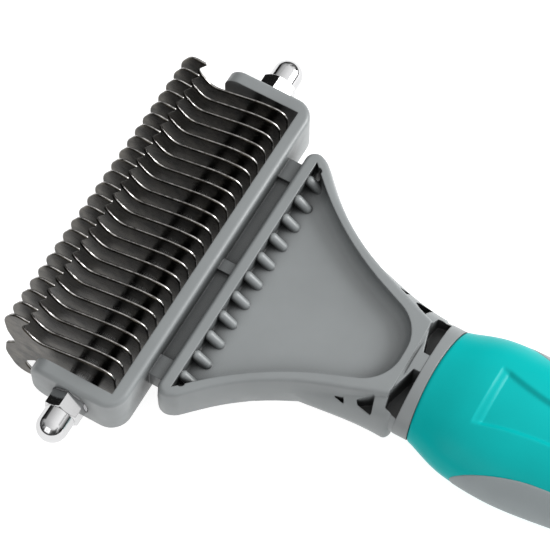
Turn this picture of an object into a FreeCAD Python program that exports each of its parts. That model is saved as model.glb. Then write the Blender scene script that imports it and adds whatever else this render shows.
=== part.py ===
import FreeCAD, Part
import math
import os
import Sketcher
from FreeCAD import Placement, Rotation, Vector

# Double-sided undercoat rake. A row of hooked steel plates and spacers is clamped on a threaded rod
# between the two arms of a moulded head. The head's neck runs into a teal handle with soft grips.
#
# Design frame: the rod's axis is X and its middle is the datum. +Y points down the handle, and +Z is
# the side with the fine teeth. At the end every piece is moved by the same amount, so that the
# origin lies under the middle of the object, on the surface that it rests on.

DOC = FreeCAD.newDocument("undercoat_rake")

# ---------------------------------------------------------------- driving dimensions, millimetres
SIZES = {
    "plate_count": 23, "plate_pitch": 3.5, "plate_gauge": 0.8, "plate_bore_dia": 5.2,
    "plate_back": 8.2, "plate_half_depth": 9.3,
    "spacer_dia": 7.5, "rod_dia": 5.0, "rod_reach": 52.4,
    "frame_length": 90.4, "frame_height": 13.0, "frame_front": 10.8, "frame_back": 12.5,
    "bar_inner": 9.2, "frame_corner": 5.0, "arm_end_round": 4.0, "frame_edge_round": 1.2,
    "rod_hole_dia": 5.2, "washer_dia": 9.0, "washer_bore_dia": 5.3, "washer_gauge": 1.0,
    "washer_seat_dia": 9.3,
    "nut_flats": 8.0, "dome_inset": 0.25, "nut_hex_height": 4.2, "nut_height": 11.15, "nut_bore_dia": 5.1,
    "nut_bore_depth": 7.6,
    "web_half_length": 31.8, "web_thickness": 3.0, "web_rib_thickness": 5.4,
    "web_end_rib": 5.5, "web_middle_rib": 3.0,
    "yoke_front": 16.0, "yoke_height": 10.0, "yoke_crown": 4.5, "yoke_edge_round": 1.2,
    "panel_thickness": 2.2,
    "dish_front": 19.2, "dish_floor_round": 2.4,
    "nub_count": 11, "nub_pitch": 5.72, "nub_radius": 1.25, "corner_hole_dia": 2.0,
    "collar_front": 65.6, "handle_front": 69.2, "collar_half_width": 14.8, "collar_half_depth": 8.3,
    "collar_drop": 2.8, "front_bow": 1.2, "neck_end_round": 1.3,
    "waist_length": 3.1, "waist_inset": 0.1, "pocket_panel": 1.2,
    "tang_length": 52.0, "tang_width": 13.0, "tang_depth": 8.0,
    "grip_thickness": 2.4, "grip_nose": 100.0, "grip_half_height": 7.5, "grip_drop": 3.8,
    "grip_front_run": 18.2, "grip_back_run": 46.0,
    "thumb_depth": 0.9,
    "hang_hole_dia": 8.0, "hang_hole_place": 158.0,
    "datum_y": 0.0, "datum_z": 0.0,
}

SHEET = DOC.addObject("Spreadsheet::Sheet", "Sizes")
for row, (word, value) in enumerate(SIZES.items(), start=1):
    SHEET.set(f"A{row}", word)
    SHEET.set(f"B{row}", str(value))
    SHEET.setAlias(f"B{row}", word)
DOC.recompute()

NODES = []
FINE_SIDE = 1
COARSE_SIDE = -1


def size(word):
    return float(SHEET.get(word))


# ---------------------------------------------------------------- helpers
def new_body(label):
    body = DOC.addObject("PartDesign::Body", label)
    body.Label = label
    return body


def origin_plane(body, role):
    return next(item for item in body.Origin.OriginFeatures if item.Role == role)


def new_sketch(body, role, offset=0.0, offset_size=None):
    """A sketch on one of the body's own origin planes, moved along the plane's normal."""
    sketch = body.newObject("Sketcher::SketchObject", "Sketch")
    sketch.AttachmentSupport = [(origin_plane(body, role), "")]
    sketch.MapMode = "FlatFace"
    sketch.AttachmentOffset = Placement(Vector(0, 0, offset), Rotation())
    if offset_size:
        sketch.setExpression("AttachmentOffset.Base.z", offset_size)
    return sketch


def join_ends(sketch, indices):
    """Coincident constraints where the ends of neighbouring edges meet."""
    for here, after in zip(indices, indices[1:] + indices[:1]):
        for mine in (1, 2):
            for other in (1, 2):
                gap = sketch.getPoint(here, mine).distanceToPoint(sketch.getPoint(after, other))
                if gap < 1e-6 and (len(indices) > 2 or mine != other):
                    sketch.addConstraint(Sketcher.Constraint("Coincident", here, mine, after, other))


def draw(sketch, edges):
    indices = [sketch.addGeometry(edge, False) for edge in edges]
    if len(indices) > 2:
        join_ends(sketch, indices)
    return indices


def rounded(corners):
    """Lines and tangent arcs through corners given as (x, y, radius)."""
    count = len(corners)
    runs = []
    for index, (x, y, radius) in enumerate(corners):
        corner = Vector(x, y, 0)
        before = Vector(*corners[index - 1][:2], 0) - corner
        after = Vector(*corners[(index + 1) % count][:2], 0) - corner
        before.normalize()
        after.normalize()
        if radius == 0:
            runs.append((corner, None, corner))
            continue
        half = before.getAngle(after) / 2
        reach = radius / math.tan(half)
        middle_line = before + after
        middle_line.normalize()
        middle = corner + middle_line * (radius / math.sin(half) - radius)
        runs.append((corner + before * reach, middle, corner + after * reach))
    edges = []
    for index, (start, middle, end) in enumerate(runs):
        if middle is not None:
            edges.append(Part.Arc(start, middle, end))
        following = runs[(index + 1) % count][0]
        if end.distanceToPoint(following) > 1e-6:
            edges.append(Part.LineSegment(end, following))
    return edges


def mirrored(corners):
    """The corners given for x > 0, followed by their mirror images in reverse."""
    return corners + [(-x, y, radius) for x, y, radius in reversed(corners)]


def box_corners(x_low, x_high, y_low, y_high, radius=0.0):
    return [(x_high, y_low, radius), (x_high, y_high, radius),
            (x_low, y_high, radius), (x_low, y_low, radius)]


def add_circle(sketch, x, y, diameter_size):
    index = sketch.addGeometry(Part.Circle(Vector(x, y, 0), Vector(0, 0, 1), size(diameter_size) / 2), False)
    row = sketch.addConstraint(Sketcher.Constraint("Diameter", index, size(diameter_size)))
    sketch.setExpression(f"Constraints[{row}]", f"Sizes.{diameter_size}")
    return index


def pad(body, sketch, length, both_ways=False, reverse=False):
    feature = body.newObject("PartDesign::Pad", "Pad")
    feature.Profile = sketch
    feature.setExpression("Length", length)
    feature.Midplane = both_ways
    feature.Reversed = reverse
    DOC.recompute()
    return feature


def check_feature(body, feature):
    if "Invalid" in feature.State or "Error" in feature.State or "Touched" in feature.State:
        raise ValueError(f"{body.Label}: {feature.Name} failed, {feature.State}")


def cut(body, sketch, length, both_ways=False, reverse=False):
    """A pocket, which has to take material away."""
    before = body.Shape.Volume
    feature = body.newObject("PartDesign::Pocket", "Pocket")
    feature.Profile = sketch
    feature.setExpression("Length", length)
    feature.Midplane = both_ways
    feature.Reversed = reverse
    DOC.recompute()
    if body.Shape.Volume > before - 0.01:
        raise ValueError(f"{body.Label}: a pocket cuts nothing")
    return feature


def round_edges(body, radius, wanted):
    """Fillets the edges that the test accepts. The test is given an edge and its bounding box."""
    solid = body.Tip
    names = [f"Edge{number}" for number, edge in enumerate(solid.Shape.Edges, start=1)
             if wanted(edge, edge.BoundBox)]
    if not names:
        raise ValueError(f"{body.Label}: no edge to round")
    feature = body.newObject("PartDesign::Fillet", "Fillet")
    feature.Base = (solid, names)
    feature.setExpression("Radius", radius)
    DOC.recompute()
    check_feature(body, feature)
    return feature


def near(value, target, slack=0.02):
    return abs(value - target) < slack


def register(item, x="0", half_turn=False):
    """Gives a finished sub-part its Placement and puts it on the list of nodes."""
    if half_turn:
        item.Placement = Placement(Vector(), Rotation(Vector(0, 0, 1), 180))
    item.setExpression("Placement.Base.x", x)
    item.setExpression("Placement.Base.y", "Sizes.datum_y")
    item.setExpression("Placement.Base.z", "Sizes.datum_z")
    NODES.append(item)


# ---------------------------------------------------------------- hooked plates
# Corners are (y, z, radius), seen from the near end of the rod. A hook curls back to the handle.
FINE_HOOK = [(2.0, 9.1, 20.0), (-12.3, 4.9, 3.6), (-16.3, 9.5, 2.6), (-13.3, 13.9, 0.4),
             (-17.8, 14.5, 3.4), (-20.9, 9.0, 6.5), (-20.6, 3.2, 7.0)]
COARSE_HOOK = [(-18.9, -1.3, 0.8), (-21.7, -4.3, 3.0), (-22.5, -9.2, 7.0), (-19.6, -16.8, 4.0),
               (-14.0, -15.7, 0.35), (-17.7, -10.2, 3.0), (-13.2, -5.4, 3.2), (2.0, -9.1, 20.0)]
PLAIN_FRONT = [(-19.4, -0.6, 8.0), (-16.6, -6.4, 3.5), (-9.0, -7.0, 12.0), (2.0, -9.1, 20.0)]


def plate_outline(double_ended):
    back = size("plate_back")
    depth = size("plate_half_depth")
    lower = COARSE_HOOK if double_ended else PLAIN_FRONT
    return [(back, -depth, 2.8), (back, depth, 2.8)] + FINE_HOOK + lower


def make_plate(label, place, double_ended):
    body = new_body(label)
    sketch = new_sketch(body, "YZ_Plane")
    draw(sketch, rounded(plate_outline(double_ended)))
    add_circle(sketch, 0, 0, "plate_bore_dia")
    pad(body, sketch, "Sizes.plate_gauge", both_ways=True)
    register(body, f"({place} - (Sizes.plate_count - 1) / 2) * Sizes.plate_pitch")


def make_plates():
    """Double-ended plates carry a fine and a coarse hook, and take turns with fine ones."""
    for place in range(int(size("plate_count"))):
        double_ended = place % 2 == 0
        kind = "double_plate" if double_ended else "fine_plate"
        make_plate(f"{kind}_{place + 1:02d}", place, double_ended)


# ---------------------------------------------------------------- rod, spacers, washers, nuts
def make_rod():
    body = new_body("threaded_rod")
    sketch = new_sketch(body, "YZ_Plane")
    add_circle(sketch, 0, 0, "rod_dia")
    pad(body, sketch, "2 * Sizes.rod_reach", both_ways=True)
    chamfer = body.newObject("PartDesign::Chamfer", "Chamfer")
    solid = body.Group[-2]
    rims = [f"Edge{number}" for number, edge in enumerate(solid.Shape.Edges, start=1)
            if edge.BoundBox.XLength < 0.01]
    chamfer.Base = (solid, rims)
    chamfer.Size = 0.4
    register(body)


def make_spacers():
    """One spacer in each gap of the stack, and one between each end plate and its arm."""
    for place in range(int(size("plate_count")) + 1):
        body = new_body(f"spacer_{place + 1:02d}")
        sketch = new_sketch(body, "YZ_Plane")
        add_circle(sketch, 0, 0, "spacer_dia")
        add_circle(sketch, 0, 0, "plate_bore_dia")
        pad(body, sketch, "Sizes.plate_pitch - Sizes.plate_gauge", both_ways=True)
        register(body, f"({place} - Sizes.plate_count / 2) * Sizes.plate_pitch")


def make_washer(label, half_turn):
    """The washer lies in the seat in the arm's end, flush with the arm."""
    body = new_body(label)
    sketch = new_sketch(body, "YZ_Plane", offset_size="Sizes.frame_length / 2 - Sizes.washer_gauge")
    add_circle(sketch, 0, 0, "washer_dia")
    add_circle(sketch, 0, 0, "washer_bore_dia")
    pad(body, sketch, "Sizes.washer_gauge")
    register(body, half_turn=half_turn)


def make_cap_nut(label, half_turn):
    """An acorn nut: a hexagon with corners up and down, and a domed cap over a blind bore."""
    body = new_body(label)
    base = size("frame_length") / 2
    hexagon = new_sketch(body, "YZ_Plane", offset_size="Sizes.frame_length / 2")
    corner_reach = size("nut_flats") / math.sqrt(3)
    corners = []
    for turn in range(6):
        angle = math.radians(90 + 60 * turn)
        corners.append((corner_reach * math.cos(angle), corner_reach * math.sin(angle), 0))
    draw(hexagon, rounded(corners))
    pad(body, hexagon, "Sizes.nut_hex_height")

    # The hexagon's outer corners are turned down to 30 degrees: a triangle goes round the axis.
    rim = new_sketch(body, "XZ_Plane")
    hex_end = base + size("nut_hex_height")
    flat_reach = size("nut_flats") / 2
    fall = (corner_reach + 1 - flat_reach) * math.tan(math.radians(30))
    draw(rim, rounded([(hex_end, flat_reach, 0), (hex_end, corner_reach + 1, 0),
                       (hex_end - fall, corner_reach + 1, 0)]))
    turn_down = body.newObject("PartDesign::Groove", "Groove")
    turn_down.Profile = rim
    turn_down.ReferenceAxis = (origin_plane(body, "X_Axis"), [""])
    turn_down.Angle = 360
    before = body.Shape.Volume
    DOC.recompute()
    if body.Shape.Volume > before - 0.01:
        raise ValueError(f"{label}: the rim isn't turned down")

    dome = new_sketch(body, "XZ_Plane")
    radius = flat_reach - size("dome_inset")
    tip = base + size("nut_height")
    centre = tip - radius
    start = Vector(centre, radius, 0)
    middle = Vector(centre + radius * math.sqrt(0.5), radius * math.sqrt(0.5), 0)
    end = Vector(tip, 0, 0)
    draw(dome, [Part.LineSegment(Vector(hex_end - 1, 0, 0), Vector(hex_end - 1, radius, 0)),
                Part.LineSegment(Vector(hex_end - 1, radius, 0), start),
                Part.Arc(start, middle, end),
                Part.LineSegment(end, Vector(hex_end - 1, 0, 0))])
    cap = body.newObject("PartDesign::Revolution", "Revolution")
    cap.Profile = dome
    cap.ReferenceAxis = (origin_plane(body, "X_Axis"), [""])
    cap.Angle = 360
    DOC.recompute()

    bore = new_sketch(body, "YZ_Plane", offset_size="Sizes.frame_length / 2")
    add_circle(bore, 0, 0, "nut_bore_dia")
    cut(body, bore, "Sizes.nut_bore_depth", reverse=True)
    register(body, half_turn=half_turn)


# ---------------------------------------------------------------- head
# Half outlines, as (x, y, radius) corners for x > 0, from the crossbar to the neck.
YOKE_OUTLINE = [(37.5, 16.0, 3.0), (35.3, 21.5, 5.0), (21.7, 34.8, 60.0), (11.5, 62.0, 0)]
CROWN_OUTLINE = [(36.9, 16.2, 2.4), (34.2, 21.3, 4.2), (20.7, 34.1, 60.0), (10.2, 62.0, 0)]
DISH_OUTLINE = [(33.0, 19.2, 0), (18.6, 33.9, 80.0), (7.9, 60.1, 10.0)]


def add_arms(body):
    """The clamp: a block with rounded ends, opened to the front, with rounded back corners."""
    half_height = size("frame_height") / 2
    profile = new_sketch(body, "YZ_Plane")
    end_round = size("arm_end_round")
    front = -size("frame_front")
    back = size("frame_back")
    draw(profile, rounded([(front, -half_height, end_round), (back, -half_height, 0),
                           (back, half_height, 0), (front, half_height, end_round)]))
    pad(body, profile, "Sizes.frame_length", both_ways=True)
    half_length = size("frame_length") / 2
    round_edges(body, "Sizes.frame_corner",
                lambda edge, box: box.ZLength > 5 and box.YLength < 0.01 and near(box.YMin, back))
    mouth = new_sketch(body, "XY_Plane")
    inner = (size("plate_count") + 1) / 2 * size("plate_pitch") - size("plate_gauge") / 2
    draw(mouth, rounded(box_corners(-inner, inner, front - 5, size("bar_inner"))))
    cut(body, mouth, "Sizes.frame_height + 2", both_ways=True)

    def outer_rim(edge, box):
        on_face = near(box.ZMin, box.ZMax) and near(abs(box.ZMin), half_height)
        at_end = max(abs(box.XMin), abs(box.XMax)) > half_length - 0.1
        along_back = near(box.YMin, back) and near(box.YMax, back)
        return on_face and (at_end or along_back)
    round_edges(body, "Sizes.frame_edge_round", outer_rim)


def add_web(body):
    """The thin web between the clamp and the yoke, with three stiffening ribs."""
    back = size("frame_back")
    front = size("yoke_front")
    half_length = size("web_half_length")
    web = new_sketch(body, "XY_Plane")
    draw(web, rounded(box_corners(-half_length, half_length, back - 1, front + 1)))
    pad(body, web, "Sizes.web_thickness", both_ways=True)
    end_rib = size("web_end_rib")
    middle = size("web_middle_rib") / 2
    for low, high in ((-half_length, end_rib - half_length), (-middle, middle),
                      (half_length - end_rib, half_length)):
        rib = new_sketch(body, "XY_Plane")
        draw(rib, rounded(box_corners(low, high, back - 1, front + 1)))
        pad(body, rib, "Sizes.web_rib_thickness", both_ways=True)


def add_yoke(body):
    """A slab with a crown on the fine side, whose flanks lean inwards. Its rims are rounded."""
    half_height = size("yoke_height") / 2
    crown_foot = half_height - size("yoke_crown")
    slab = new_sketch(body, "XY_Plane", offset=-half_height)
    draw(slab, rounded(mirrored(YOKE_OUTLINE)))
    pad(body, slab, "Sizes.yoke_height - Sizes.yoke_crown")
    foot = new_sketch(body, "XY_Plane", offset=crown_foot)
    draw(foot, rounded(mirrored(YOKE_OUTLINE)))
    top = new_sketch(body, "XY_Plane", offset=half_height)
    draw(top, rounded(mirrored(CROWN_OUTLINE)))
    crown = body.newObject("PartDesign::AdditiveLoft", "Loft")
    crown.Profile = foot
    crown.Sections = [top]
    DOC.recompute()

    def rim(edge, box):
        flat = near(box.ZMin, box.ZMax) and near(abs(box.ZMin), half_height)
        return flat and box.YMin > size("yoke_front") - 0.1 and box.YMin < YOKE_OUTLINE[-1][1] - 0.1
    round_edges(body, "Sizes.yoke_edge_round", rim)


def rounded_section(half_width, low, high, radius):
    return rounded(box_corners(-half_width, half_width, low, high, radius))


# Sections of the neck: place along Y, half width, lowest and highest point, lower and upper radius.
NECK_SECTIONS = [
    (40.0, 19.3, -4.8, 4.2, 2.5, 3.8), (49.0, 17.9, -6.6, 4.3, 3.5, 7.2), (57.0, 16.3, -9.0, 4.7, 4.2, 9.2),
    (64.5, 15.8, -10.6, 5.0, 4.5, 10.4)]


def add_neck(body):
    """The neck deepens downwards from the yoke, ends in a rounded shoulder, and narrows to a waist."""
    sections = []
    for place, half_width, low, high, low_radius, high_radius in NECK_SECTIONS:
        sketch = new_sketch(body, "XZ_Plane", offset=-place)
        draw(sketch, rounded([(half_width, low, low_radius), (half_width, high, high_radius),
                              (-half_width, high, high_radius), (-half_width, low, low_radius)]))
        sections.append(sketch)
    loft = body.newObject("PartDesign::AdditiveLoft", "Loft")
    loft.Profile = sections[0]
    loft.Sections = sections[1:]
    DOC.recompute()
    end = NECK_SECTIONS[-1][0]
    round_edges(body, "Sizes.neck_end_round",
                lambda edge, box: near(box.YMin, end) and near(box.YMax, end))
    add_oval(body, "Sizes.collar_front + 0.2", "Sizes.waist_length", size("waist_inset"))


def add_oval(body, front_place, length, smaller):
    """A length of the collar's oval, ending at a place along Y, and smaller than it all round."""
    sketch = new_sketch(body, "XZ_Plane", offset_size=f"-({front_place})")
    oval = Part.Ellipse(Vector(0, -size("collar_drop"), 0), size("collar_half_width") - smaller,
                        size("collar_half_depth") - smaller)
    sketch.addGeometry(oval, False)
    pad(body, sketch, length)


def front_bow(behind):
    """Seen from the side: the bowed line where the handle meets the collar, closed on one side."""
    middle = -size("collar_drop")
    reach = size("collar_half_depth") + 2
    ends_y = size("handle_front") - size("front_bow") * (reach / size("collar_half_depth")) ** 2
    high = Vector(ends_y, middle + reach, 0)
    low = Vector(ends_y, middle - reach, 0)
    far_y = ends_y + 8 if behind else ends_y - 8
    return [Part.Arc(low, Vector(size("handle_front"), middle, 0), high),
            Part.LineSegment(high, Vector(far_y, middle + reach, 0)),
            Part.LineSegment(Vector(far_y, middle + reach, 0), Vector(far_y, middle - reach, 0)),
            Part.LineSegment(Vector(far_y, middle - reach, 0), low)]


def add_collar(body):
    """The collar ends in a bowed face for the handle, and the tang goes on into the handle."""
    add_oval(body, "Sizes.handle_front", "Sizes.handle_front - Sizes.collar_front", 0)
    bow = new_sketch(body, "YZ_Plane")
    draw(bow, front_bow(behind=True))
    cut(body, bow, "3 * Sizes.collar_half_width", both_ways=True)
    tang = new_sketch(body, "XZ_Plane", offset_size="-Sizes.handle_front - Sizes.tang_length")
    draw(tang, tang_section())
    pad(body, tang, "Sizes.tang_length + 2")


def tang_section():
    half_width = size("tang_width") / 2
    half_depth = size("tang_depth") / 2
    drop = size("collar_drop")
    return rounded_section(half_width, -drop - half_depth, -drop + half_depth, 1.5)


def cut_dishes(body):
    """A shallow dish in each face of the yoke leaves a thin panel between them."""
    for side in (FINE_SIDE, COARSE_SIDE):
        dish = new_sketch(body, "XY_Plane", offset=side * size("panel_thickness") / 2)
        draw(dish, rounded(mirrored(DISH_OUTLINE)))
        cut(body, dish, "Sizes.yoke_height", reverse=side == FINE_SIDE)
        floor = side * size("panel_thickness") / 2

        def floor_rim(edge, box, floor=floor):
            inside = box.YMin > size("dish_front") - 0.1 and box.YMax < DISH_OUTLINE[-1][1] + 0.1
            behind_nubs = box.YMax > size("dish_front") + 3
            return near(box.ZMin, floor) and near(box.ZMax, floor) and inside and behind_nubs
        round_edges(body, "Sizes.dish_floor_round", floor_rim)


# A nub's axis, as (y, distance from the middle plane), at its top and at its foot.
NUB_TOP = (19.7, 3.35)
NUB_FOOT = (22.3, 1.15)


def add_nubs(body):
    """A row of round-ended nubs slopes down the crossbar's inner wall into each dish."""
    radius = size("nub_radius")
    first_x = -(size("nub_count") - 1) / 2 * size("nub_pitch")
    for side in (FINE_SIDE, COARSE_SIDE):
        top = Vector(NUB_TOP[0], side * NUB_TOP[1], 0)
        foot = Vector(NUB_FOOT[0], side * NUB_FOOT[1], 0)
        along = foot - top
        along.normalize()
        across = Vector(-along.y, along.x, 0)
        tip = top - along * radius
        toe = foot + along * radius
        diagonal = math.sqrt(0.5) * radius
        nub = new_sketch(body, "YZ_Plane", offset=first_x)
        draw(nub, [Part.LineSegment(toe, tip),
                   Part.Arc(tip, top + (across - along) * diagonal, top + across * radius),
                   Part.LineSegment(top + across * radius, foot + across * radius),
                   Part.Arc(foot + across * radius, foot + (across + along) * diagonal, toe)])
        turned = body.newObject("PartDesign::Revolution", "Revolution")
        turned.Profile = nub
        turned.ReferenceAxis = (nub, ["Edge1"])
        turned.Angle = 360
        DOC.recompute()
        row = body.newObject("PartDesign::LinearPattern", "LinearPattern")
        row.Originals = [turned]
        row.Direction = (origin_plane(body, "X_Axis"), [""])
        row.setExpression("Length", "(Sizes.nub_count - 1) * Sizes.nub_pitch")
        row.setExpression("Occurrences", "Sizes.nub_count")
        body.Tip = row
        DOC.recompute()


# Pockets cored out of the neck, as (x, y, radius) corners for the +X half.
COLLAR_POCKET = [(2.3, 63.9, 0.3), (9.4, 61.8, 0.8), (12.6, 62.4, 0.4), (13.2, 65.7, 0), (2.3, 65.7, 0)]
FLANK_POCKET = [(11.4, 59.2, 0.3), (13.9, 55.8, 0.3), (14.6, 56.6, 0.3), (14.8, 60.1, 0.3)]
SLIVER_POCKET = [(15.6, 50.6, 0.15), (14.7, 53.0, 0.2), (15.7, 53.7, 0.2)]
# The small hole in the dish's corner, for the +X half.
CORNER_HOLE = (31.0, 20.5)


def cut_neck_pockets(body):
    """Each pocket is cut from both faces, down to a thin panel in the neck's middle."""
    for side in (FINE_SIDE, COARSE_SIDE):
        for corners in (COLLAR_POCKET, FLANK_POCKET, SLIVER_POCKET):
            for turn in (1, -1):
                floor = side * size("pocket_panel") / 2 - size("collar_drop")
                pocket = new_sketch(body, "XY_Plane", offset=floor)
                draw(pocket, rounded([(turn * x, y, radius) for x, y, radius in corners]))
                cut(body, pocket, "Sizes.frame_height", reverse=side == FINE_SIDE)


def cut_holes(body):
    """Rod hole and washer seats in the arms, and the small holes in the dish corners."""
    rod_hole = new_sketch(body, "YZ_Plane")
    add_circle(rod_hole, 0, 0, "rod_hole_dia")
    cut(body, rod_hole, "Sizes.frame_length + 2", both_ways=True)
    for end in (1, -1):
        seat = new_sketch(body, "YZ_Plane",
                          offset=end * (size("frame_length") / 2 - size("washer_gauge")))
        add_circle(seat, 0, 0, "washer_seat_dia")
        cut(body, seat, "Sizes.washer_gauge + 1", reverse=end == 1)
    corner_holes = new_sketch(body, "XY_Plane")
    for end in (1, -1):
        add_circle(corner_holes, end * CORNER_HOLE[0], CORNER_HOLE[1], "corner_hole_dia")
    cut(body, corner_holes, "Sizes.yoke_height + 2", both_ways=True)


def make_head():
    body = new_body("head_frame")
    add_arms(body)
    add_web(body)
    add_yoke(body)
    add_neck(body)
    cut_neck_pockets(body)
    add_collar(body)
    cut_dishes(body)
    add_nubs(body)
    cut_holes(body)
    register(body)
    return body


# ---------------------------------------------------------------- handle
# Sections of the handle: place along Y, half width, half depth, and how far the middle drops.
HANDLE_SECTIONS = [
    (67.0, 14.4, 8.05, 2.8), (69.2, 14.8, 8.35, 2.8), (73.0, 16.1, 9.2, 2.9), (77.5, 17.6, 10.2, 3.1),
    (84.0, 18.5, 10.9, 3.4), (92.0, 18.6, 11.3, 3.7), (105.0, 16.9, 11.6, 4.1), (122.0, 14.6, 11.7, 4.4),
    (140.0, 14.4, 11.4, 4.3), (152.0, 14.8, 9.9, 3.9), (161.0, 13.4, 7.9, 3.5), (166.5, 10.6, 5.8, 3.3),
    (168.6, 7.0, 3.6, 3.2)]


def handle_loft(label, inset):
    """The handle's outside, or a surface that lies the inset inside it and runs past its ends."""
    body = new_body(label)
    sections = []
    last = len(HANDLE_SECTIONS) - 1
    for index, (place, half_width, half_depth, drop) in enumerate(HANDLE_SECTIONS):
        overrun = 0.0
        if inset and index in (0, last):
            overrun = -2.0 if index == 0 else 2.0
        sketch = new_sketch(body, "XZ_Plane", offset=-(place + overrun))
        oval = Part.Ellipse(Vector(0, -drop, 0), half_width - inset, half_depth - inset)
        sketch.addGeometry(oval, False)
        sections.append(sketch)
    loft = body.newObject("PartDesign::AdditiveLoft", "Loft")
    loft.Profile = sections[0]
    loft.Sections = sections[1:]
    DOC.recompute()
    return body


def boolean(kind, label, base, tool):
    feature = DOC.addObject(kind, label)
    feature.Base = base
    feature.Tool = tool
    DOC.recompute()
    return feature


def grip_prism():
    """A long oval, seen from the side, that runs through the handle from side to side."""
    body = new_body("grip_prism")
    sketch = new_sketch(body, "YZ_Plane")
    centre = Vector(size("grip_nose"), -size("grip_drop"), 0)
    high = size("grip_half_height")
    for run, turn in ((size("grip_front_run"), -1), (size("grip_back_run"), 1)):
        oval = Part.Ellipse(centre + Vector(turn * run, 0, 0), centre + Vector(0, turn * high, 0), centre)
        sketch.addGeometry(Part.ArcOfEllipse(oval, -math.pi / 2, math.pi / 2), False)
    pad(body, sketch, "60", both_ways=True)
    return body


# The thumb panel's outline on top of the handle, as (x, y, radius) corners for the +X half.
THUMB_PANEL = [(8.3, 81.0, 1.2), (5.2, 93.5, 20.0), (4.0, 104.0, 15.0), (3.4, 118.0, 3.2)]


def thumb_tool(side):
    """What the shallow thumb panel takes out of one face of the handle."""
    body = new_body("thumb_prism")
    sketch = new_sketch(body, "XY_Plane", offset=-size("collar_drop"))
    draw(sketch, rounded(mirrored(THUMB_PANEL)))
    pad(body, sketch, "30", reverse=side == COARSE_SIDE)
    return body


def hang_hole_prism():
    body = new_body("hang_hole_prism")
    sketch = new_sketch(body, "XY_Plane")
    add_circle(sketch, 0, size("hang_hole_place"), "hang_hole_dia")
    pad(body, sketch, "60", both_ways=True)
    return body


def tang_prism():
    """The socket for the head's tang."""
    body = new_body("tang_prism")
    sketch = new_sketch(body, "XZ_Plane", offset_size="-Sizes.handle_front - Sizes.tang_length")
    draw(sketch, tang_section())
    pad(body, sketch, "Sizes.tang_length + 5")
    return body


def front_prism():
    """What the bowed joint line takes off the handle's front end."""
    body = new_body("front_prism")
    sketch = new_sketch(body, "YZ_Plane")
    draw(sketch, front_bow(behind=False))
    pad(body, sketch, "60", both_ways=True)
    return body


def make_handle():
    outside = handle_loft("handle_outside", 0.0)
    grip_bed = handle_loft("grip_bed", size("grip_thickness"))
    thumb_bed = handle_loft("thumb_bed", size("thumb_depth"))
    prism = grip_prism()
    grip_both = boolean("Part::Common", "grip_both", outside, prism)
    grip_skin = boolean("Part::Cut", "grip_skin", grip_both, grip_bed)
    shell = boolean("Part::Cut", "shell_without_grips", outside, grip_skin)
    shell = boolean("Part::Cut", "shell_with_front", shell, front_prism())
    shell = boolean("Part::Cut", "shell_with_socket", shell, tang_prism())
    for side in (FINE_SIDE, COARSE_SIDE):
        panel = boolean("Part::Cut", "thumb_cut", thumb_tool(side), thumb_bed)
        shell = boolean("Part::Cut", "shell_with_panel", shell, panel)
    shell = boolean("Part::Cut", "handle_shell", shell, hang_hole_prism())
    shell.Label = "handle_shell"
    register(shell)
    reach = 40.0
    for label, low in (("grip_near", 0.0), ("grip_far", -reach)):
        half = DOC.addObject("Part::Box", "half_space")
        half.Length = reach
        half.Width = 3 * reach
        half.Height = 2 * reach
        half.Placement = Placement(Vector(low, size("handle_front"), -reach), Rotation())
        grip = boolean("Part::Common", label, grip_skin, half)
        grip.Label = label
        register(grip)


# ---------------------------------------------------------------- build, check and write
def set_datum():
    """Moves the origin under the middle of the object, onto its lowest point."""
    whole = FreeCAD.BoundBox()
    for item in NODES:
        whole.add(item.Shape.optimalBoundingBox(False))
    SHEET.set("datum_y", str(-(whole.YMin + whole.YMax) / 2))
    SHEET.set("datum_z", str(-whole.ZMin))
    DOC.recompute()


def check_document():
    for item in DOC.Objects:
        if "Invalid" in item.State or "Error" in item.State:
            raise ValueError(f"{item.Label} failed: {item.State}")
    for item in NODES:
        shape = item.Shape
        if shape.isNull() or not shape.isValid() or len(shape.Solids) != 1:
            raise ValueError(f"{item.Label} isn't one valid solid: {len(shape.Solids)}")


def write_steps():
    os.makedirs("parts", exist_ok=True)
    for item in NODES:
        item.Shape.exportStep(f"parts/{item.Label}.step")
        box = item.Shape.BoundBox
        print(f"{item.Label:18s} volume {item.Shape.Volume:10.2f}  x {box.XMin:7.2f} {box.XMax:7.2f}"
              f"  y {box.YMin:7.2f} {box.YMax:7.2f}  z {box.ZMin:6.2f} {box.ZMax:6.2f}")


def main():
    make_head()
    make_handle()
    make_rod()
    make_plates()
    make_spacers()
    for name, half_turn in (("near", False), ("far", True)):
        make_washer(f"{name}_washer", half_turn)
        make_cap_nut(f"{name}_cap_nut", half_turn)
    DOC.recompute()
    set_datum()
    check_document()
    write_steps()


main()
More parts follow.
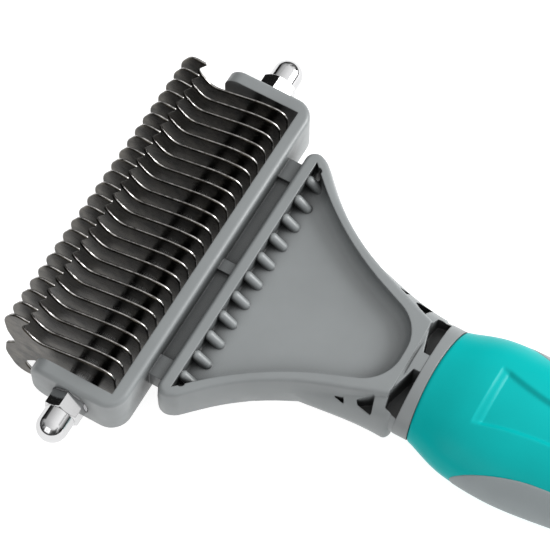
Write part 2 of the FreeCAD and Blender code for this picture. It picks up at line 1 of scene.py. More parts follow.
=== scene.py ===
import bmesh
import bpy
import math
import numpy as np
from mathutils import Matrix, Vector


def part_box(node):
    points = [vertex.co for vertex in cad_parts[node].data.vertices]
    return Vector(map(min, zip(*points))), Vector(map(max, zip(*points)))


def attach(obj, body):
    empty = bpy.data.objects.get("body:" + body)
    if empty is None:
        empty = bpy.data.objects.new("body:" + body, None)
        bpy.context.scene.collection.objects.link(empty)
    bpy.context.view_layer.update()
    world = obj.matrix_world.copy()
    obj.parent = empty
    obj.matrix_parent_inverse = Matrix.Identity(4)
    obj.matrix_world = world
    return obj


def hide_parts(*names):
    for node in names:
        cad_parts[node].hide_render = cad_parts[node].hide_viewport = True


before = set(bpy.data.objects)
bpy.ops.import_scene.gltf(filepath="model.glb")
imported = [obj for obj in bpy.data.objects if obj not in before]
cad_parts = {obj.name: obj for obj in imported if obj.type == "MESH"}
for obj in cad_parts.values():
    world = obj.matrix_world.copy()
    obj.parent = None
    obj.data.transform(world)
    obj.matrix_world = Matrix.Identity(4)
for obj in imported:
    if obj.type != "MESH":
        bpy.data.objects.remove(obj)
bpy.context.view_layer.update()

MM = 0.001
ROD_LOW, ROD_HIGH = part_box("threaded_rod")
# The rod's middle is the datum of every measure below: x along the rod, y to the handle, z up.
DATUM = (ROD_LOW + ROD_HIGH) / 2
ROOT = "rake"


def place(x, y, z):
    """A point given in millimetres from the datum, in the row frame."""
    return DATUM + Vector((x, y, z)) * MM


# ---------------------------------------------------------------- materials
# Noise rarely leaves this range, so tones and spans are spread over it.
NOISE_RANGE = (0.3, 0.7)
# Occlusion at which a groove is fully shaded, and at which a surface counts as open.
GROOVE_RANGE = (0.3, 0.92)
# Sizes of the lumps over which plastic varies, in tone and in roughness.
TONE_LUMP_MM = 14.0
ROUGH_LUMP_MM = 3.0


class NodeTree:
    """Small helper for building a node tree."""

    def __init__(self, tree):
        self.tree = tree

    def add(self, kind, **settings):
        node = self.tree.nodes.new(kind)
        for key, value in settings.items():
            setattr(node, key, value)
        return node

    def link(self, source, target):
        self.tree.links.new(source, target)

    def span(self, source, low, high, across=NOISE_RANGE, kind="LINEAR"):
        """A number mapped from the range across to the range low to high."""
        node = self.add("ShaderNodeMapRange", interpolation_type=kind)
        for word, value in zip(("From Min", "From Max", "To Min", "To Max"), (*across, low, high)):
            node.inputs[word].default_value = value
        self.link(source, node.inputs["Value"])
        return node.outputs["Result"]


class Nodes(NodeTree):
    """The nodes of one surface material."""

    def __init__(self, name):
        self.material = bpy.data.materials.new(name)
        self.material.use_nodes = True
        super().__init__(self.material.node_tree)
        self.tree.nodes.clear()
        self.shader = self.add("ShaderNodeBsdfPrincipled")
        output = self.add("ShaderNodeOutputMaterial")
        self.link(self.shader.outputs["BSDF"], output.inputs["Surface"])
        self.where = self.add("ShaderNodeTexCoord").outputs["Object"]

    def noise(self, size_mm, detail=2.0, stretch=None):
        """Noise whose lumps are about size_mm across, stretched along an axis if asked."""
        texture = self.add("ShaderNodeTexNoise")
        texture.inputs["Scale"].default_value = 1.0 / (size_mm * MM)
        texture.inputs["Detail"].default_value = detail
        source = self.where
        if stretch:
            mapping = self.add("ShaderNodeMapping")
            mapping.inputs["Scale"].default_value = stretch
            self.link(source, mapping.inputs["Vector"])
            source = mapping.outputs["Vector"]
        self.link(source, texture.inputs["Vector"])
        return texture.outputs["Fac"]

    def ramp(self, source, low, high):
        """A colour ramp from low to high."""
        ramp = self.add("ShaderNodeValToRGB")
        for element, position, colour in zip(ramp.color_ramp.elements, NOISE_RANGE, (low, high)):
            element.position = position
            element.color = (*colour, 1)
        self.link(source, ramp.inputs["Fac"])
        return ramp.outputs["Color"]

    def shaded_in_grooves(self, tone, reach_mm, shade):
        """The tone, darkened to the shade where walls within reach shut out the light."""
        occlusion = self.add("ShaderNodeAmbientOcclusion", samples=8)
        occlusion.inputs["Distance"].default_value = reach_mm * MM
        scale = self.add("ShaderNodeVectorMath", operation="SCALE")
        self.link(tone, scale.inputs[0])
        self.link(self.span(occlusion.outputs["AO"], shade, 1.0, GROOVE_RANGE), scale.inputs["Scale"])
        return scale.outputs["Vector"]

    def bump(self, source, depth_mm, strength=1.0, round_mm=0.0):
        """Fine relief over the surface, on top of softly rounded edges."""
        node = self.add("ShaderNodeBump")
        node.inputs["Distance"].default_value = depth_mm * MM
        node.inputs["Strength"].default_value = strength
        self.link(source, node.inputs["Height"])
        if round_mm:
            bevel = self.add("ShaderNodeBevel", samples=6)
            bevel.inputs["Radius"].default_value = round_mm * MM
            self.link(bevel.outputs["Normal"], node.inputs["Normal"])
        self.link(node.outputs["Normal"], self.shader.inputs["Normal"])


def shades(colour, amount):
    """A slightly darker and a slightly lighter tone of one colour."""
    return [tuple(channel * factor for channel in colour) for factor in (1 - amount, 1 + amount)]


def moulded(name, colour, rough, grain_mm=0.25, grain_depth=0.004, variation=0.05, round_mm=0.0,
            groove_mm=0.0, groove_shade=1.0, specular=0.5):
    """Moulded plastic with a fine grain, with shade painted into its grooves and pockets if asked."""
    nodes = Nodes(name)
    broad = nodes.noise(TONE_LUMP_MM, 3.0)
    fine = nodes.noise(grain_mm, 2.0)
    tone = nodes.ramp(broad, *shades(colour, variation))
    if groove_mm:
        tone = nodes.shaded_in_grooves(tone, groove_mm, groove_shade)
    nodes.link(tone, nodes.shader.inputs["Base Color"])
    nodes.link(nodes.span(nodes.noise(ROUGH_LUMP_MM, 4.0), rough - 0.04, rough + 0.05),
               nodes.shader.inputs["Roughness"])
    nodes.shader.inputs["Specular IOR Level"].default_value = specular
    nodes.bump(fine, grain_depth, 0.6, round_mm)
    return nodes.material


def metal(name, colour, rough, scratch_mm=0.3, stretch=None, depth=0.002, variation=0.1, round_mm=0.0,
          lump_mm=5.0):
    """Metal with fine scratches, whose tone varies in lumps."""
    nodes = Nodes(name)
    nodes.shader.inputs["Metallic"].default_value = 1.0
    broad = nodes.noise(lump_mm, 4.0)
    lines = nodes.noise(scratch_mm, 3.0, stretch)
    nodes.link(nodes.ramp(broad, *shades(colour, variation)), nodes.shader.inputs["Base Color"])
    nodes.link(nodes.span(lines, rough * 0.75, rough * 1.3), nodes.shader.inputs["Roughness"])
    nodes.bump(lines, depth, 0.5, round_mm)
    return nodes.material


# The frame's grey has painted shade in its grooves and pockets.
FRAME_GREY = moulded("frame_grey", (0.2, 0.213, 0.216), 0.38, round_mm=0.45,
                     groove_mm=6.5, groove_shade=0.1)
TEAL = moulded("handle_teal", (0.0, 0.36, 0.355), 0.33, grain_mm=0.3, variation=0.04, specular=0.1)
GRIP_GREY = moulded("grip_grey", (0.24, 0.268, 0.276), 0.62, grain_mm=0.35, grain_depth=0.02)
PLATE_FACE = metal("plate_face", (0.05, 0.045, 0.037), 0.32, 0.12, (1.0, 0.05, 1.0),
                   variation=0.8, lump_mm=3.5)
# Bright steel for the middle band of each plate edge: partly ground steel, partly a painted highlight line
# along the edge.
PLATE_EDGE_STEEL_AND_HIGHLIGHT = metal("plate_edge_steel_and_highlight", (0.42, 0.41, 0.4), 0.3, 0.1, (0.1, 1.0, 1.0), variation=0.6, lump_mm=1.2)
SPACER_STEEL = metal("spacer_bright", (0.22, 0.22, 0.22), 0.25, 0.1, (0.1, 1.0, 1.0))
ROD_STEEL = metal("rod_plated", (0.45, 0.45, 0.46), 0.3, 0.12, (1.0, 0.1, 0.1))
NUT_CHROME = metal("nut_chrome", (0.55, 0.55, 0.555), 0.1, 0.2, None, 0.0008, 0.03, round_mm=0.18)


# ---------------------------------------------------------------- mesh helpers
def add_to_scene(name, data):
    item = bpy.data.objects.new(name, data)
    bpy.context.scene.collection.objects.link(item)
    return item


def new_object(name, vertices, faces, material):
    """A smooth mesh that rides with the rake."""
    mesh = bpy.data.meshes.new(name)
    mesh.from_pydata([tuple(v) for v in vertices], [], faces)
    mesh.validate()
    mesh.materials.append(material)
    mesh.polygons.foreach_set("use_smooth", [True] * len(mesh.polygons))
    item = add_to_scene(name, mesh)
    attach(item, ROOT)
    return item


def strip_of_quads(lower, upper, count):
    """Quads between two closed rings of points, given by the index of each ring's first point."""
    return [(lower + i, lower + (i + 1) % count, upper + (i + 1) % count, upper + i) for i in range(count)]


def ring_cap(first, count):
    """One face over a closed ring of points."""
    return tuple(first + i for i in range(count))


def flipped(face):
    return tuple(reversed(face))


# Points closer together than this become one.
WELD_MM = 0.002
# Edges that turn more than this stay sharp.
CAD_SHARP = 28.0
HANDLE_SHARP = 40.0
GRIP_SHARP = 60.0


def sharpen(item, degrees):
    """Marks edges sharper than the angle, so that only gentle ones are shaded smooth."""
    work = bmesh.new()
    work.from_mesh(item.data)
    bmesh.ops.remove_doubles(work, verts=work.verts, dist=WELD_MM * MM)
    bmesh.ops.recalc_face_normals(work, faces=work.faces)
    for face in work.faces:
        face.smooth = True
    for edge in work.edges:
        edge.smooth = edge.is_manifold and edge.calc_face_angle(0.0) < math.radians(degrees)
    work.to_mesh(item.data)
    work.free()


def smooth_copy(node, name, material, body=ROOT):
    """A copy of a CAD piece with clean smooth shading, which stands for its node."""
    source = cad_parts[node]
    mesh = source.data.copy()
    mesh.materials.clear()
    mesh.materials.append(material)
    if mesh.has_custom_normals:
        mesh.normals_split_custom_set([(0, 0, 0)] * len(mesh.loops))
    item = add_to_scene(name, mesh)
    sharpen(item, CAD_SHARP)
    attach(item, body)
    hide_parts(node)


# ---------------------------------------------------------------- hooked plates
# Corners of the plates' outline, from the datum: y, z and the radius that rounds the corner.
FINE_HOOK = [(2.0, 9.1, 20.0), (-12.3, 4.9, 3.6), (-16.3, 9.5, 2.6), (-13.3, 13.9, 0.4),
             (-17.8, 14.5, 3.4), (-20.9, 9.0, 6.5), (-20.6, 3.2, 7.0)]
COARSE_HOOK = [(-18.9, -1.3, 0.8), (-21.7, -4.3, 3.0), (-22.5, -9.2, 7.0), (-19.6, -16.8, 4.0),
               (-14.0, -15.7, 0.35), (-17.7, -10.2, 3.0), (-13.2, -5.4, 3.2), (2.0, -9.1, 20.0)]
PLAIN_FRONT = [(-19.4, -0.6, 8.0), (-16.6, -6.4, 3.5), (-9.0, -7.0, 12.0), (2.0, -9.1, 20.0)]
PLATE_BACK = [(8.2, -9.3, 2.8), (8.2, 9.3, 2.8)]
PLATE_GAUGE = 0.8
BORE_RADIUS = 2.6
BORE_SIDES = 48
# Half of the plate's rounded edge: distance in from the outline, and distance in from the face.
EDGE_ROUND = [(0.3, 0.0), (0.08, 0.12), (0.0, 0.28)]
# Degrees between the points round a corner.
CORNER_STEP = 6.0


def rounded_outline(corners):
    """Points round a closed outline whose corners are rounded by their own radius."""
    points = []
    count = len(corners)
    for index, (x, y, radius) in enumerate(corners):
        corner = Vector((x, y))
        before = (Vector(corners[index - 1][:2]) - corner).normalized()
        after = (Vector(corners[(index + 1) % count][:2]) - corner).normalized()
        half = before.angle(after) / 2
        middle = (before + after).normalized()
        centre = corner + middle * (radius / math.sin(half))
        start = corner + before * (radius / math.tan(half)) - centre
        turn = math.pi - 2 * half
        steps = max(2, round(math.degrees(turn) / CORNER_STEP))
        side = 1 if before.x * after.y - before.y * after.x < 0 else -1
        for step in range(steps + 1):
            angle = side * turn * step / steps
            arm = Vector((start.x * math.cos(angle) - start.y * math.sin(angle),
                          start.x * math.sin(angle) + start.y * math.cos(angle)))
            points.append(centre + arm)
    return points


def inset(points, distance):
    """The outline moved inwards. The outline runs anticlockwise."""
    moved = []
    for index, point in enumerate(points):
        along = (points[(index + 1) % len(points)] - points[index - 1]).normalized()
        moved.append(point + Vector((-along.y, along.x)) * distance)
    return moved


def area_of(points):
    """The area inside a closed outline, less than zero if it runs clockwise."""
    return sum(a.x * b.y - b.x * a.y for a, b in zip(points, points[1:] + points[:1])) / 2


def make_plate(node, name, double_ended):
    """A hooked plate with rounded edges, and a band of bright steel along their middle that is partly
    ground steel and partly a painted highlight line.
    """
    low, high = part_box(node)
    middle = (low.x + high.x) / 2
    lower = COARSE_HOOK if double_ended else PLAIN_FRONT
    outline = rounded_outline(PLATE_BACK + FINE_HOOK + lower)
    if area_of(outline) < 0:
        outline.reverse()
    half = PLATE_GAUGE / 2
    profile = [(distance, half - drop) for distance, drop in EDGE_ROUND]
    profile += [(distance, -offset) for distance, offset in reversed(profile)]
    # The edge's middle band takes the bright steel: partly ground steel, partly a painted highlight line.
    steel_and_highlight_band = len(EDGE_ROUND) - 1
    work = bmesh.new()
    rings = []
    for distance, offset in profile:
        rings.append([work.verts.new((middle + offset * MM, *(DATUM.yz + p * MM)))
                      for p in inset(outline, distance)])
    bores = []
    for offset in (half, -half):
        bores.append([work.verts.new((middle + offset * MM,
                                      DATUM.y + BORE_RADIUS * MM * math.cos(angle),
                                      DATUM.z + BORE_RADIUS * MM * math.sin(angle)))
                      for angle in np.linspace(0, 2 * math.pi, BORE_SIDES, endpoint=False)])
    for first, second in [*zip(rings, rings[1:]), (bores[1], bores[0])]:
        count = len(first)
        for i in range(count):
            j = (i + 1) % count
            face = work.faces.new((first[i], second[i], second[j], first[j]))
            face.material_index = 1 if first is rings[steel_and_highlight_band] else 0
            face.smooth = True
    for ring, bore in ((rings[0], bores[0]), (rings[-1], bores[1])):
        edges = [work.edges.get((loop[i], loop[(i + 1) % len(loop)]))
                 for loop in (ring, bore) for i in range(len(loop))]
        made = bmesh.ops.triangle_fill(work, use_beauty=True, use_dissolve=False, edges=edges)
        for face in made["geom"]:
            if isinstance(face, bmesh.types.BMFace):
                face.material_index = 0
                face.smooth = False
    bmesh.ops.recalc_face_normals(work, faces=work.faces)
    mesh = bpy.data.meshes.new(name)
    work.to_mesh(mesh)
    work.free()
    mesh.materials.append(PLATE_FACE)
    mesh.materials.append(PLATE_EDGE_STEEL_AND_HIGHLIGHT)
    item = add_to_scene(name, mesh)
    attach(item, ROOT)
    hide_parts(node)


# ---------------------------------------------------------------- handle
# Sections of the handle: place along y, half width, half depth, and how far the middle drops.
HANDLE_SECTIONS = np.array([
    (67.0, 14.4, 8.05, 2.8), (69.2, 14.8, 8.35, 2.8), (73.0, 16.1, 9.2, 2.9), (77.5, 17.6, 10.2, 3.1),
    (84.0, 18.5, 10.9, 3.4), (92.0, 18.6, 11.3, 3.7), (105.0, 16.9, 11.6, 4.1), (122.0, 14.6, 11.7, 4.4),
    (140.0, 14.4, 11.4, 4.3), (152.0, 14.8, 9.9, 3.9), (161.0, 13.4, 7.9, 3.5)])


def natural_spline(xs, ys):
    """A natural cubic spline through the points, as a function."""
    count = len(xs)
    steps = np.diff(xs)
    rows = np.zeros((count, count))
    right = np.zeros(count)
    rows[0, 0] = rows[-1, -1] = 1.0
    for i in range(1, count - 1):
        rows[i, i - 1:i + 2] = steps[i - 1], 2 * (steps[i - 1] + steps[i]), steps[i]
        right[i] = 6 * ((ys[i + 1] - ys[i]) / steps[i] - (ys[i] - ys[i - 1]) / steps[i - 1])
    curve = np.linalg.solve(rows, right)

    def value(x):
        i = np.clip(np.searchsorted(xs, x) - 1, 0, count - 2)
        left, ahead, step = x - xs[i], xs[i + 1] - x, steps[i]
        return (curve[i] * ahead ** 3 / (6 * step) + curve[i + 1] * left ** 3 / (6 * step)
                + (ys[i] / step - curve[i] * step / 6) * ahead
                + (ys[i + 1] / step - curve[i + 1] * step / 6) * left)
    return value


HANDLE_FRONT = 69.2
# The front is bowed over its first few millimetres, and has a small rounded lip.
FRONT_BOW = 1.2
BOW_FADE = 6.0
LIP_LENGTH = 0.55
LIP_DEPTH = 0.42
# The tang's socket: its size against the handle's front, where it ends, and its size there.
SOCKET_SCALE = 0.78
SOCKET_END = 74.0
SOCKET_END_SCALE = 0.74
TAIL_START = 158.0
TAIL_END = 168.6
LAST_SECTION = HANDLE_SECTIONS[-1, 0]
# The tail closes by these powers: of the run along it, and of what that leaves.
TAIL_WIDTH_POWERS = (2.6, 0.46)
TAIL_DEPTH_POWERS = (2.4, 0.5)
HALF_WIDTH, HALF_DEPTH, DROP = (natural_spline(HANDLE_SECTIONS[:, 0], HANDLE_SECTIONS[:, column])
                                for column in (1, 2, 3))


def section(y):
    """Half width, half depth and drop at a place along the handle, with the tail rounded off."""
    inside = np.minimum(y, LAST_SECTION)
    width, depth, drop = HALF_WIDTH(inside), HALF_DEPTH(inside), DROP(inside)
    run = np.clip((y - TAIL_START) / (TAIL_END - TAIL_START), 0, 1)
    width_fade, depth_fade = ((1 - run ** first) ** second
                              for first, second in (TAIL_WIDTH_POWERS, TAIL_DEPTH_POWERS))
    return width * width_fade, depth * depth_fade, drop


def ease(value):
    """A smooth step from 0 to 1."""
    value = np.clip(value, 0, 1)
    return value * value * (3 - 2 * value)


# The thumb panel: depth, where it starts and ends along y, and how long its slopes are.
THUMB_DEPTH = 0.9
THUMB_FRONT = 81.0
THUMB_END = 118.0
THUMB_FRONT_SLOPE = 2.3
THUMB_SIDE_SLOPE = 1.5
THUMB_BACK_SLOPE = 5.0
# How much the front wall swings past a straight slope, and how far down their slope the sides start.
THUMB_SWING = 0.08
THUMB_SIDE_START = 0.1
# Half width of the thumb panel, by place along y.
THUMB_PLACES = np.array([79.0, 81.0, 87.0, 93.5, 104.0, 118.0, 122.0])
THUMB_WIDTHS = np.array([8.7, 8.2, 6.6, 5.4, 4.3, 3.6, 3.5])
THUMB_OUTLINE = natural_spline(THUMB_PLACES, THUMB_WIDTHS)
HOLE_PLACE = 158.0
HOLE_RADIUS = 4.0
HOLE_LIP = 1.3


def thumb_panel(x, y):
    """How deep the thumb panel is at a place: a sloped front wall and softer sides."""
    edge = THUMB_OUTLINE(np.clip(y, THUMB_PLACES[0], THUMB_PLACES[-1]))
    front = np.clip((y - THUMB_FRONT) / THUMB_FRONT_SLOPE, 0, 1)
    front = front + THUMB_SWING * np.sin(2 * math.pi * front)
    side = ease((edge - np.abs(x)) / THUMB_SIDE_SLOPE + THUMB_SIDE_START)
    back = ease((THUMB_END - y) / THUMB_BACK_SLOPE)
    return THUMB_DEPTH * front * side * back


def hole_lip(x, y):
    """The rounded lip where the hanging hole meets the surface."""
    away = np.hypot(x, y - HOLE_PLACE) - HOLE_RADIUS
    inward = np.clip(HOLE_LIP - away, 0, HOLE_LIP)
    return HOLE_LIP - np.sqrt(HOLE_LIP ** 2 - inward ** 2)


GRIP_CENTRE = (100.0, -3.8)
GRIP_FRONT_RUN = 18.2
GRIP_BACK_RUN = 46.0
GRIP_HALF_HEIGHT = 7.5
# The bed that each grip lies in: depth, how much of the reach its wall takes, and the grip's back.
GRIP_BED_DEPTH = 1.6
GRIP_BED_SLOPE = 0.06
GRIP_UNDERSIDE = -1.5
# The beds are only cut farther out than this from the handle's middle.
GRIP_BED_CLEAR = 6.0


def leaf_reach(y, z):
    """1 on the grip's outline, less inside it."""
    run = np.where(y < GRIP_CENTRE[0], GRIP_FRONT_RUN, GRIP_BACK_RUN)
    return np.hypot((y - GRIP_CENTRE[0]) / run, (z - GRIP_CENTRE[1]) / GRIP_HALF_HEIGHT)


# Rows of the handle's mesh: steps over the front lip, spans with their start, end and step, and the tail.
LIP_ROWS = (0.0, 0.02, 0.1, 0.25, 0.45, 0.7)
ROW_SPANS = [(70.2, 80.4, 0.5), (80.6, 84.4, 0.15), (84.6, 112.0, 0.5), (112.3, 119.0, 0.4),
             (119.5, 151.5, 0.6), (151.8, 164.2, 0.22), (164.4, 168.2, 0.2)]
TAIL_ROWS = (168.3, 168.4, 168.48, 168.54, 168.58)


def handle_rows():
    """Places of the handle's cross-sections, closer together where the shape has detail."""
    rows = [HANDLE_FRONT + step for step in LIP_ROWS]
    for start, end, step in ROW_SPANS:
        rows.extend(np.arange(start, end, step))
    rows.extend(TAIL_ROWS)
    return np.array(rows)


HANDLE_SIDES = 320
HOLE_SIDES = 96
CUTTER_REACH = 40.0


def outer_ring(row, angles):
    """One cross-section of the handle's outside, with its lip, thumb panels, hole lip and grip beds."""
    fade = 1 - np.clip((row - HANDLE_FRONT) / BOW_FADE, 0, 1)
    y = row - FRONT_BOW * (np.sin(angles) * fade) ** 2
    width, depth, drop = section(y)
    lip = LIP_DEPTH * (1 - min(1.0, (row - HANDLE_FRONT) / LIP_LENGTH)) ** 2
    x = (width - lip) * np.cos(angles)
    z = (depth - lip) * np.sin(angles)
    dip = thumb_panel(x, y) + hole_lip(x, y)
    bed = ease((1.0 - leaf_reach(y, z - drop)) / GRIP_BED_SLOPE) * GRIP_BED_DEPTH
    length = np.hypot(x / width ** 2, z / depth ** 2)
    nx, nz = x / width ** 2 / length, z / depth ** 2 / length
    x = x - nx * bed * (np.abs(x) > GRIP_BED_CLEAR)
    z = z - np.sign(z) * dip - nz * bed * (np.abs(x) > GRIP_BED_CLEAR)
    return [place(px, py, pz) for px, py, pz in zip(x, y, z - drop)]


def hole_cutter():
    """A rod that cuts the hanging hole through the handle."""
    vertices = []
    for z in (-CUTTER_REACH, CUTTER_REACH):
        vertices.extend(place(HOLE_RADIUS * math.cos(t), HOLE_PLACE + HOLE_RADIUS * math.sin(t), z)
                        for t in np.linspace(0, 2 * math.pi, HOLE_SIDES, endpoint=False))
    faces = [flipped(ring_cap(0, HOLE_SIDES)), ring_cap(HOLE_SIDES, HOLE_SIDES)]
    faces += strip_of_quads(0, HOLE_SIDES, HOLE_SIDES)
    return new_object("hole_cutter", vertices, faces, TEAL)


def make_handle():
    rows = handle_rows()
    around = HANDLE_SIDES
    angles = np.linspace(0, 2 * math.pi, around, endpoint=False)
    vertices = []
    for row in rows:
        vertices.extend(outer_ring(row, angles))
    faces = []
    for row in range(len(rows) - 1):
        faces += strip_of_quads(row * around, (row + 1) * around, around)
    # The front face steps in to the tang's socket, and the tail closes on its last ring.
    width, depth, drop = section(HANDLE_FRONT)
    for y, scale in ((HANDLE_FRONT, SOCKET_SCALE), (SOCKET_END, SOCKET_END_SCALE)):
        vertices.extend(place(width * scale * math.cos(a), y, depth * scale * math.sin(a) - drop)
                        for a in angles)
    first_inner = len(rows) * around
    faces += strip_of_quads(first_inner, 0, around)
    faces += strip_of_quads(first_inner + around, first_inner, around)
    faces.append(ring_cap((len(rows) - 1) * around, around))
    faces.append(flipped(ring_cap(first_inner + around, around)))
    shell = new_object("handle_moulding", vertices, faces, TEAL)
    apply_difference(shell, hole_cutter())
    sharpen(shell, HANDLE_SHARP)
    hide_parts("handle_shell")


def apply_difference(item, cutter):
    """Cuts one mesh with another, keeps the result, and removes the cutter."""
    modifier = item.modifiers.new("cut", "BOOLEAN")
    modifier.operation = "DIFFERENCE"
    modifier.solver = "EXACT"
    modifier.object = cutter
    bpy.context.view_layer.update()
    graph = bpy.context.evaluated_depsgraph_get()
    mesh = bpy.data.meshes.new_from_object(item.evaluated_get(graph))
    item.modifiers.clear()
    item.data = mesh
    bpy.data.objects.remove(cutter)


GRIP_SIDES = 360
GRIP_PROUD = 0.1
# Rings of the grip's rim, top and back: reach, and how proud of the handle each stands.
GRIP_RIM = [(1.0, GRIP_UNDERSIDE), (1.0, -0.35), (0.996, -0.12), (0.99, 0.0), (0.982, 0.05), (0.97, 0.08),
            (0.95, GRIP_PROUD)]
GRIP_TOP = [(reach, GRIP_PROUD) for reach in np.linspace(0.92, 0.04, 40)]
GRIP_BACK = [(reach, GRIP_UNDERSIDE) for reach in (0.9, 0.5, 0.04)]


def skin(y, z, proud):
    """x and z of a point on the handle's near side, moved out along the surface's normal."""
    width, depth, drop = section(y)
    height = np.clip((z + drop) / depth, -0.999, 0.999)
    x = width * np.sqrt(1 - height ** 2)
    nx, nz = x / width ** 2, (z + drop) / depth ** 2
    length = np.hypot(nx, nz)
    return x + proud * nx / length, z + proud * nz / length


def grip_ring(side, reach, proud):
    """A ring of the grip's leaf outline, scaled by the reach."""
    angles = np.linspace(0, 2 * math.pi, GRIP_SIDES, endpoint=False)
    run = np.where(np.cos(angles) < 0, GRIP_FRONT_RUN, GRIP_BACK_RUN)
    y = GRIP_CENTRE[0] + reach * run * np.cos(angles)
    z = GRIP_CENTRE[1] + reach * GRIP_HALF_HEIGHT * np.sin(angles)
    x, z = skin(y, z, proud)
    return [place(side * px, py, pz) for px, py, pz in zip(x, y, z)]


def make_grip(node, name, side):
    """A soft pad let into the handle's side, with a fine rounded rim."""
    rings = GRIP_RIM + GRIP_TOP + GRIP_BACK
    vertices = []
    for reach, proud in rings:
        vertices.extend(grip_ring(side, reach, proud))
    first_back = len(GRIP_RIM + GRIP_TOP)
    faces = []
    for index in range(first_back - 1):
        faces += strip_of_quads(index * GRIP_SIDES, (index + 1) * GRIP_SIDES, GRIP_SIDES)
    faces.append(ring_cap((first_back - 1) * GRIP_SIDES, GRIP_SIDES))
    # The back starts again from the rim's first ring.
    outer = 0
    for index in range(first_back, len(rings)):
        faces += strip_of_quads(index * GRIP_SIDES, outer * GRIP_SIDES, GRIP_SIDES)
        outer = index
    faces.append(flipped(ring_cap(outer * GRIP_SIDES, GRIP_SIDES)))
    grip = new_object(name, vertices, faces, GRIP_GREY)
    sharpen(grip, GRIP_SHARP)
    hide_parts(node)


# ---------------------------------------------------------------- pieces
def make_pieces():
    smooth_copy("head_frame", "head_moulding", FRAME_GREY)
    make_handle()
    make_grip("grip_near", "side_grip_near", 1)
    make_grip("grip_far", "side_grip_far", -1)
    smooth_copy("threaded_rod", "rod_bar", ROD_STEEL)
    for node in sorted(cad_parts):
        if "_plate_" in node:
            make_plate(node, node.replace("_plate_", "_comb_"), node.startswith("double"))
        elif node.startswith("spacer_"):
            smooth_copy(node, node.replace("spacer", "sleeve"), SPACER_STEEL)
    for side in ("near", "far"):
        smooth_copy(f"{side}_washer", f"{side}_seat_washer", ROD_STEEL, f"{side}_washer_body")
        smooth_copy(f"{side}_cap_nut", f"{side}_dome_nut", NUT_CHROME, f"{side}_nut_body")


# ---------------------------------------------------------------- stage, light and camera
# Half the floor's side, and how far it lies under the part so that no face shares its plane, in metres.
FLOOR_HALF = 3.0
FLOOR_DROP = 0.0002
FLOOR_TONES = ((0.44, 0.44, 0.44), (0.46, 0.46, 0.46))
FLOOR_ROUGH = 0.9
FLOOR_GLOW = 0.85


def make_floor():
    mesh = bpy.data.meshes.new("floor")
    corners = [(-1, -1), (1, -1), (1, 1), (-1, 1)]
    mesh.from_pydata([(x * FLOOR_HALF, y * FLOOR_HALF, 0) for x, y in corners], [], [(0, 1, 2, 3)])
    floor = add_to_scene("floor", mesh)
    floor.location.z = -FLOOR_DROP
    nodes = Nodes("floor_paper")
    nodes.link(nodes.ramp(nodes.noise(40.0), *FLOOR_TONES), nodes.shader.inputs["Base Color"])
    nodes.shader.inputs["Roughness"].default_value = FLOOR_ROUGH
    nodes.shader.inputs["Emission Color"].default_value = (1, 1, 1, 1)
    nodes.shader.inputs["Emission Strength"].default_value = FLOOR_GLOW
    mesh.materials.append(nodes.material)


# Square lamps: power in watts, side in metres, and place in metres from the point that they light.
LAMPS = {"key_behind": (7.5, 0.4, (-0.47, 0.56, 0.36)), "fill_side": (1.2, 0.5, (0.7, -0.1, 0.4))}
LIT_POINT = (0, 30, 0)


def make_lamp(name, power, side, way):
    """A square lamp that faces the lit point."""
    data = bpy.data.lights.new(name, "AREA")
    data.shape = "SQUARE"
    data.size = side
    data.energy = power
    lamp = add_to_scene(name, data)
    lamp.location = place(*LIT_POINT) + Vector(way)
    lamp.rotation_mode = "QUATERNION"
    lamp.rotation_quaternion = (-Vector(way)).to_track_quat("-Z", "Y")


WORLD_STRENGTH = 1.48
# Each gradient: direction, place where it starts and ends along it, and the shade at each.
WORLD_GRADIENTS = [((0, 0, 1), (0.1, 0.75), (0.08, 1.0)),
                   ((-0.35, 0.94, 0), (-0.8, 0.8), (0.45, 1.0))]
# The flags are lumps of noise of this size, with soft edges, and end where the sky overhead starts.
FLAG_SIZE = 0.42
FLAG_SHADE = 0.15
FLAG_EDGE = (0.47, 0.53)
OVERHEAD_EDGE = (0.45, 0.8)


class WorldNodes(NodeTree):
    """The nodes of the world."""

    def __init__(self, tree):
        super().__init__(tree)
        self.way = self.add("ShaderNodeTexCoord").outputs["Generated"]

    def step(self, source, across, ends=(0.0, 1.0)):
        """A smooth step from one shade to another over a range."""
        return self.span(source, *ends, across, "SMOOTHSTEP")

    def along(self, direction):
        """How far the way looked at goes along a direction."""
        node = self.add("ShaderNodeVectorMath", operation="DOT_PRODUCT")
        node.inputs[1].default_value = direction
        self.link(self.way, node.inputs[0])
        return node.outputs["Value"]

    def combine(self, operation, first, second):
        """One math operation on two values, of which the second may be a number."""
        node = self.add("ShaderNodeMath", operation=operation)
        self.link(first, node.inputs[0])
        if isinstance(second, float):
            node.inputs[1].default_value = second
        else:
            self.link(second, node.inputs[1])
        return node.outputs["Value"]


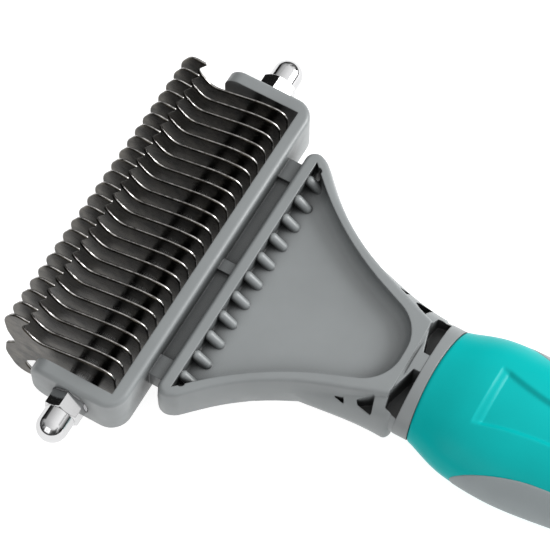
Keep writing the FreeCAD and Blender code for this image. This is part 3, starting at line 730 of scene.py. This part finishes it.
def make_world():
    """A studio dome: bright overhead and behind the handle, with dark flags standing low down."""
    world = bpy.data.worlds.new("studio")
    bpy.context.scene.world = world
    world.use_nodes = True
    nodes = WorldNodes(world.node_tree)
    texture = nodes.add("ShaderNodeTexNoise")
    texture.inputs["Scale"].default_value = 1 / FLAG_SIZE
    texture.inputs["Detail"].default_value = 1.0
    nodes.link(nodes.way, texture.inputs["Vector"])
    flags = nodes.step(texture.outputs["Fac"], FLAG_EDGE, (FLAG_SHADE, 1.0))
    shade = nodes.combine("MAXIMUM", flags, nodes.step(nodes.along((0, 0, 1)), OVERHEAD_EDGE))
    for direction, across, ends in WORLD_GRADIENTS:
        shade = nodes.combine("MULTIPLY", shade, nodes.step(nodes.along(direction), across, ends))
    background = world.node_tree.nodes["Background"]
    nodes.link(nodes.combine("MULTIPLY", shade, WORLD_STRENGTH), background.inputs["Strength"])
    background.inputs["Color"].default_value = (1, 1, 1, 1)


def make_light():
    make_world()
    for name, (power, side, way) in LAMPS.items():
        make_lamp(name, power, side, way)


# The camera: lens and sensor in mm, the point it looks at and its distance in mm, and angles in degrees.
CAMERA_LENS = 161.27
CAMERA_SENSOR = 36.0
CAMERA_TARGET = (-4.49, 24.09, 0.0)
CAMERA_DISTANCE = 565.7
CAMERA_AZIMUTH = 119.93
CAMERA_ELEVATION = 63.37
CAMERA_SHIFT = (0.0015, 0.0018)


def make_camera():
    data = bpy.data.cameras.new("camera")
    data.lens = CAMERA_LENS
    data.sensor_width = CAMERA_SENSOR
    data.shift_x, data.shift_y = CAMERA_SHIFT
    data.clip_start = 0.01
    data.clip_end = 50.0
    camera = add_to_scene("camera", data)
    azimuth = math.radians(CAMERA_AZIMUTH)
    elevation = math.radians(CAMERA_ELEVATION)
    back = Vector((math.sin(azimuth) * math.cos(elevation), -math.cos(azimuth) * math.cos(elevation),
                   math.sin(elevation)))
    camera.location = place(*CAMERA_TARGET) + back * CAMERA_DISTANCE * MM
    camera.rotation_mode = "QUATERNION"
    camera.rotation_quaternion = (-back).to_track_quat("-Z", "Y")
    bpy.context.scene.camera = camera


make_pieces()
make_floor()
make_light()
make_camera()
bpy.context.scene.view_settings.view_transform = "Standard"
